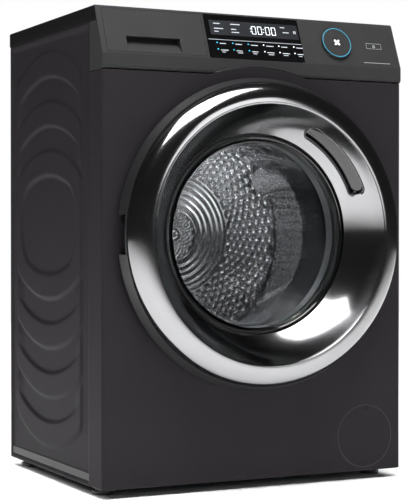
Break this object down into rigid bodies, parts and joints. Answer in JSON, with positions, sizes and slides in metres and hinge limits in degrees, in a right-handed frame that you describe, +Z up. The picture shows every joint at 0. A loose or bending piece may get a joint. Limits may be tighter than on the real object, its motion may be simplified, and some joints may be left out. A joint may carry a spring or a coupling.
{
  "type": "front load washing machine",
  "caption": "Free-standing front-loading washing machine with a round glass door, tilted control panel, detergent drawer, sprung tub and belt-driven drum.",
  "frame": {"origin": "on the floor, at the middle of the machine's box", "axes": "+X to the right of someone facing the machine, +Y to its back, +Z up"},
  "size_m": [0.6, 0.544, 0.845],
  "materials": {
    "cabinet_paint": "satin dark graphite enamel",
    "fascia_plastic": "fine-grained dark grey plastic",
    "worktop_laminate": "near-black laminate",
    "galvanised": "zinc coated steel",
    "black_plastic": "black moulded plastic",
    "gloss_black": "gloss black",
    "chrome": "dark bright chrome plating",
    "bowl_glass": "clear pressed glass",
    "stainless": "stainless steel",
    "gasket_rubber": "grey rubber",
    "hose_rubber": "black rubber",
    "tub_plastic": "light grey glass-filled plastic",
    "white_plastic": "white moulded plastic",
    "concrete": "cast concrete, modelled as a dense material",
    "cast_aluminium": "rough cast aluminium",
    "motor_steel": "laminated steel",
    "bright_steel": "turned steel",
    "black_steel": "black-coated steel"
  },
  "bodies": {
    "cabinet": {"left_side_panel": "cabinet_paint", "right_side_panel": "cabinet_paint", "front_panel": "cabinet_paint", "base_frame": "galvanised", "rear_panel": "galvanised", "rear_service_cover": "galvanised", "panel_screws": "bright_steel", "worktop": "worktop_laminate", "front_crossbar": "galvanised", "control_fascia": "fascia_plastic", "display_window": "gloss_black", "dispenser_housing": "white_plastic", "inlet_valve": "white_plastic", "valve_hose": "hose_rubber", "control_box": "white_plastic", "mains_gland": "black_plastic", "door_hinge_bracket": "black_steel", "door_lock": "black_plastic", "damper_cylinders": "black_plastic", "pump_housing": "tub_plastic", "pump_motor": "black_plastic", "drain_hose_inner": "hose_rubber", "drain_outlet": "black_plastic"},
    "tub": {"tub_front_shell": "tub_plastic", "tub_rear_shell": "tub_plastic", "heater_element": "bright_steel", "door_gasket": "gasket_rubber", "front_counterweight": "concrete", "top_counterweight": "concrete", "suspension_springs": "galvanised", "damper_rods": "bright_steel", "motor_housing": "motor_steel", "drive_belt": "hose_rubber", "sump_hose": "hose_rubber", "drum_bearings_and_seal": "bright_steel"},
    "drum": {"drum_shell": "stainless", "drum_front_ring": "stainless", "drum_lifters": "stainless", "drum_spider": "cast_aluminium", "drum_pulley": "cast_aluminium"},
    "motor_rotor": {"motor_rotor": "motor_steel"},
    "door": {"door_chrome_ring": "chrome", "door_outer_frame": "black_plastic", "door_rear_frame": "black_plastic", "door_funnel": "gloss_black", "door_glass": "bowl_glass", "door_hinge_arm": "black_steel"},
    "door_hook": {"door_hook": "black_plastic"},
    "drawer": {"drawer_front": "fascia_plastic", "drawer_tray": "white_plastic"},
    "selector_dial": {"selector_dial": "fascia_plastic"},
    "start_button": {"start_button": "fascia_plastic"},
    "power_button": {"power_button": "fascia_plastic"},
    "filter_hatch": {"filter_hatch": "cabinet_paint"},
    "filter_cap": {"filter_cap": "black_plastic"},
    "pump_impeller": {"pump_impeller": "white_plastic"},
    "foot_front_left": {"foot_front_left": "black_plastic"},
    "foot_front_right": {"foot_front_right": "black_plastic"},
    "foot_rear_left": {"foot_rear_left": "black_plastic"},
    "foot_rear_right": {"foot_rear_right": "black_plastic"}
  },
  "joints": [
    {"name": "tub_suspension", "type": "slide", "parent": "cabinet", "child": "tub", "axis": [0, 0, 1], "range_m": [-0.008, 0.008], "stiffness_N_per_m": 20000, "springref_m": 0.02045, "deforming": ["suspension_springs", "door_gasket", "sump_hose"]},
    {"name": "drum_spin", "type": "hinge", "parent": "tub", "child": "drum", "pos_m": [0, 0, 0.451], "axis": [0, 1, 0], "continuous": true},
    {"name": "motor_spin", "type": "hinge", "parent": "tub", "child": "motor_rotor", "pos_m": [-0.03, 0.1, 0.118], "axis": [0, 1, 0], "continuous": true},
    {"name": "door_hinge", "type": "hinge", "parent": "cabinet", "child": "door", "pos_m": [-0.261, -0.228, 0.451], "axis": [0, 0, -1], "range_deg": [0, 115]},
    {"name": "door_hook_pivot", "type": "hinge", "parent": "door", "child": "door_hook", "pos_m": [0.235, -0.218, 0.451], "axis": [0, 0, 1], "range_deg": [-8, 0], "stiffness_Nm_per_rad": 0.3, "springref_deg": 5.73},
    {"name": "drawer_slide", "type": "slide", "parent": "cabinet", "child": "drawer", "axis": [0, -1, 0], "range_m": [0, 0.18]},
    {"name": "dial_turn", "type": "hinge", "parent": "cabinet", "child": "selector_dial", "pos_m": [0.1685, -0.19377, 0.80057], "axis": [0, -0.9285, 0.3714], "continuous": true},
    {"name": "start_press", "type": "slide", "parent": "cabinet", "child": "start_button", "axis": [0, 0.9285, -0.3714], "range_m": [0, 0.0012], "stiffness_N_per_m": 800, "springref_m": -0.001},
    {"name": "power_press", "type": "slide", "parent": "cabinet", "child": "power_button", "axis": [0, 0.9285, -0.3714], "range_m": [0, 0.001], "stiffness_N_per_m": 800, "springref_m": -0.001},
    {"name": "hatch_hinge", "type": "hinge", "parent": "cabinet", "child": "filter_hatch", "pos_m": [0.222, -0.2103, 0.0238], "axis": [1, 0, 0], "range_deg": [0, 95]},
    {"name": "filter_cap_turn", "type": "hinge", "parent": "cabinet", "child": "filter_cap", "pos_m": [0.222, -0.2, 0.08], "axis": [0, 1, 0], "range_deg": [0, 180]},
    {"name": "impeller_spin", "type": "hinge", "parent": "cabinet", "child": "pump_impeller", "pos_m": [0.222, -0.08, 0.08], "axis": [0, 1, 0], "continuous": true},
    {"name": "foot_front_left_height", "type": "slide", "parent": "cabinet", "child": "foot_front_left", "axis": [0, 0, 1], "range_m": [-0.015, 0]},
    {"name": "foot_front_right_height", "type": "slide", "parent": "cabinet", "child": "foot_front_right", "axis": [0, 0, 1], "range_m": [-0.015, 0]},
    {"name": "foot_rear_left_height", "type": "slide", "parent": "cabinet", "child": "foot_rear_left", "axis": [0, 0, 1], "range_m": [-0.015, 0]},
    {"name": "foot_rear_right_height", "type": "slide", "parent": "cabinet", "child": "foot_rear_right", "axis": [0, 0, 1], "range_m": [-0.015, 0]}
  ],
  "couplings": [
    {"joint": "motor_spin", "follows": "drum_spin", "ratio": 12.754}
  ]
}
